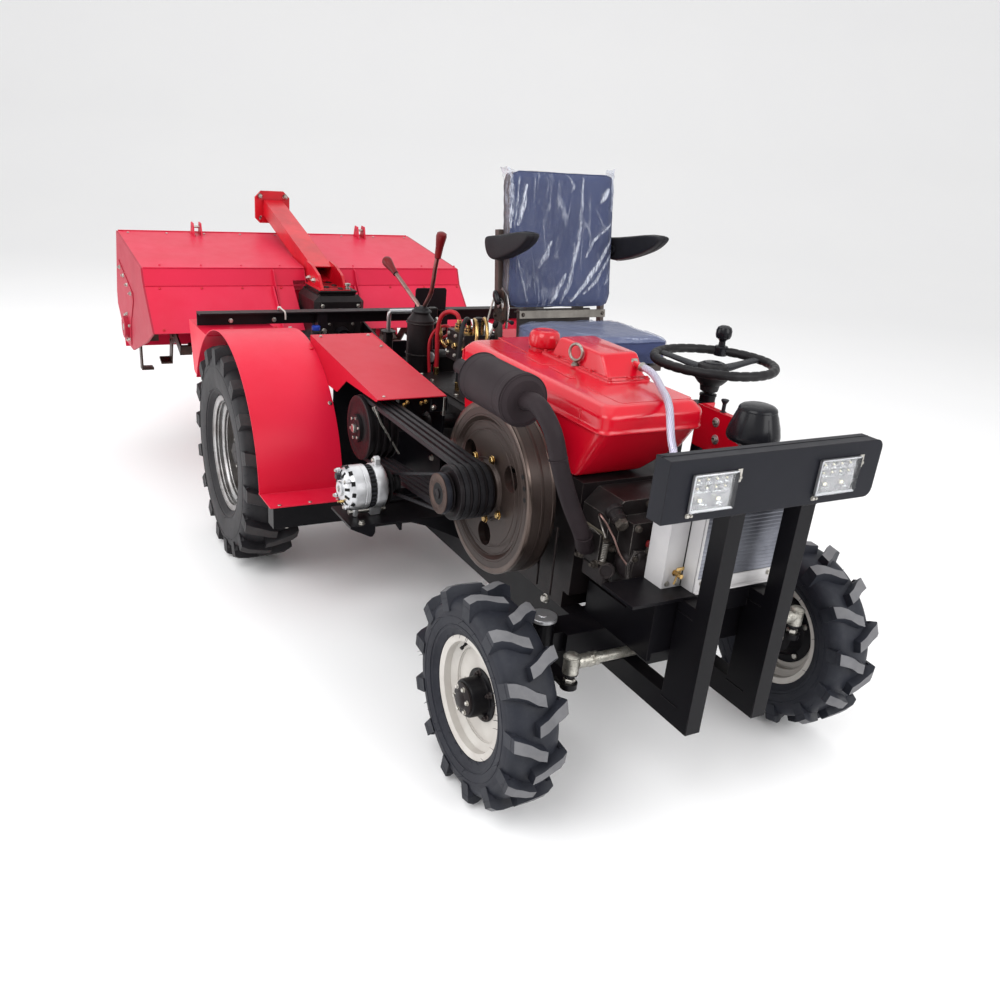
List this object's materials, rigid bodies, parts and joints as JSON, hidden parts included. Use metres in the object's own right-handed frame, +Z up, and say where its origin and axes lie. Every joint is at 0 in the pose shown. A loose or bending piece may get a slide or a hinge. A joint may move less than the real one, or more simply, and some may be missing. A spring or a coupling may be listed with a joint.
{
  "type": "four-wheel rotary tiller",
  "caption": "Small open four-wheel tractor with a horizontal single-cylinder engine, offset seat and a wide rotary tiller carried on a hydraulic lift behind the rear axle.",
  "frame": {"origin": "ground level under the middle of the machine's outline", "axes": "+X forward along the machine, +Y to its left, +Z up"},
  "size_m": [3.841, 1.7374, 1.5104],
  "materials": {
    "tyre": "dusty matt rubber",
    "front_rim": "cream white paint",
    "rear_rim": "galvanised",
    "black_paint": "semi gloss black paint",
    "red_paint": "satin red paint",
    "red_gloss": "gloss red paint",
    "zinc": "zinc plated, dull",
    "lamp": "clear lens over bright reflectors",
    "radiator_paint": "light grey paint",
    "dark_iron": "dark painted casting",
    "flywheel_iron": "brown black machined casting",
    "pulley_iron": "dark machined casting",
    "cast_aluminium": "cast aluminium",
    "belt_rubber": "worn rubber",
    "exhaust_paint": "textured heat resisting black",
    "black_plastic": "moulded black plastic",
    "navy_fabric": "navy woven cover in clear film",
    "hose": "braided and plain hoses",
    "blade_steel": "dark forged steel",
    "chrome_rod": "polished rod"
  },
  "bodies": {
    "chassis": {"chassis_frame": "black_paint", "front_axle_beam": "black_paint", "bumper_panel": "black_paint", "work_lamps": "lamp", "bumper_posts": "black_paint", "radiator": "radiator_paint", "engine_block": "dark_iron", "cylinder_head": "dark_iron", "clutch_pulley": "pulley_iron", "alternator": "cast_aluminium", "drive_belts": "belt_rubber", "alternator_bracket": "black_paint", "exhaust": "exhaust_paint", "fuel_cap": "red_gloss", "fuel_tank": "red_gloss", "air_cleaner": "black_plastic", "dash_panel": "red_gloss", "steering_column": "black_paint", "rear_axle_housing": "dark_iron", "transmission_case": "dark_iron", "gear_levers": "black_paint", "hydraulic_valve": "dark_iron", "fenders": "red_paint", "deck_plates": "red_paint", "side_plates": "black_paint", "rear_cross_beam": "black_paint", "seat_cushion": "navy_fabric", "seat_back": "navy_fabric", "seat_frame": "black_paint", "armrests": "black_plastic", "foot_platform": "black_paint", "hose_supply": "hose", "hose_return": "hose", "hose_water": "hose", "rear_hitch": "black_paint"},
    "knuckle_right": {"steering_knuckle_right": "black_paint"},
    "knuckle_left": {"steering_knuckle_left": "black_paint"},
    "tie_rod": {"tie_rod": "zinc"},
    "front_wheel_right": {"front_tyre_right": "tyre", "front_rim_right": "front_rim"},
    "front_wheel_left": {"front_tyre_left": "tyre", "front_rim_left": "front_rim"},
    "rear_wheel_right": {"rear_tyre_right": "tyre", "rear_rim_right": "rear_rim"},
    "rear_wheel_left": {"rear_tyre_left": "tyre", "rear_rim_left": "rear_rim"},
    "steering_wheel": {"steering_wheel": "black_plastic"},
    "crankshaft": {"flywheel": "flywheel_iron", "crank_pulley": "pulley_iron"},
    "tiller": {"tiller_hood": "red_paint", "tiller_end_plates": "red_paint", "tiller_rear_board": "red_paint", "tiller_gearbox": "dark_iron", "tiller_arm": "red_gloss", "tiller_lift_frame": "black_paint", "drive_shaft": "black_paint"},
    "tiller_rotor": {"tiller_rotor": "blade_steel"},
    "lift_cylinder": {"lift_cylinder_barrel": "black_paint"},
    "lift_rod": {"lift_cylinder_rod": "chrome_rod"}
  },
  "joints": [
    {"name": "steer_right", "type": "hinge", "parent": "chassis", "child": "knuckle_right", "pos_m": [1.5585, -0.32275, 0.445], "axis": [0, 0, 1], "range_deg": [-25, 25]},
    {"name": "steer_left", "type": "hinge", "parent": "chassis", "child": "knuckle_left", "pos_m": [1.5585, 0.43725, 0.445], "axis": [0, 0, 1], "range_deg": [-25, 25]},
    {"name": "tie_rod_pivot", "type": "hinge", "parent": "knuckle_right", "child": "tie_rod", "pos_m": [1.7085, -0.32275, 0.445], "axis": [0, 0, 1], "range_deg": [-25, 25]},
    {"name": "steering_wheel_turn", "type": "hinge", "parent": "chassis", "child": "steering_wheel", "pos_m": [1.1985, 0.42725, 1.05], "axis": [0, 0, 1], "range_deg": [-300, 300]},
    {"name": "front_wheel_right_spin", "type": "hinge", "parent": "knuckle_right", "child": "front_wheel_right", "pos_m": [1.5585, -0.47275, 0.296], "axis": [0, 1, 0], "continuous": true},
    {"name": "front_wheel_left_spin", "type": "hinge", "parent": "knuckle_left", "child": "front_wheel_left", "pos_m": [1.5585, 0.58725, 0.296], "axis": [0, 1, 0], "continuous": true},
    {"name": "rear_wheel_right_spin", "type": "hinge", "parent": "chassis", "child": "rear_wheel_right", "pos_m": [-0.1415, -0.64875, 0.414], "axis": [0, 1, 0], "continuous": true},
    {"name": "rear_wheel_left_spin", "type": "hinge", "parent": "chassis", "child": "rear_wheel_left", "pos_m": [-0.1415, 0.76325, 0.414], "axis": [0, 1, 0], "continuous": true},
    {"name": "crankshaft_spin", "type": "hinge", "parent": "chassis", "child": "crankshaft", "pos_m": [1.2225, -0.33775, 0.733], "axis": [0, 1, 0], "continuous": true},
    {"name": "tiller_lift", "type": "hinge", "parent": "chassis", "child": "tiller", "pos_m": [-0.5215, -0.02275, 0.66], "axis": [0, 1, 0], "range_deg": [-19, 8]},
    {"name": "tiller_rotor_spin", "type": "hinge", "parent": "tiller", "child": "tiller_rotor", "pos_m": [-1.6065, -0.05775, 0.6], "axis": [0, 1, 0], "continuous": true},
    {"name": "lift_cylinder_swing", "type": "hinge", "parent": "chassis", "child": "lift_cylinder", "pos_m": [-0.4415, -0.02275, 0.44], "axis": [0, 1, 0], "range_deg": [-13.6, 6]},
    {"name": "lift_cylinder_stroke", "type": "slide", "parent": "lift_cylinder", "child": "lift_rod", "axis": [-0.9615, 0, 0.2747], "range_m": [-0.068, 0.03]}
  ],
  "couplings": [
    {"joint": "steer_left", "follows": "steer_right", "ratio": 1},
    {"joint": "tie_rod_pivot", "follows": "steer_right", "ratio": -1},
    {"joint": "steering_wheel_turn", "follows": "steer_right", "ratio": 12},
    {"joint": "lift_cylinder_swing", "follows": "tiller_lift", "ratio": 0.705},
    {"joint": "lift_cylinder_stroke", "follows": "tiller_lift", "m_per_rad": 0.2}
  ]
}
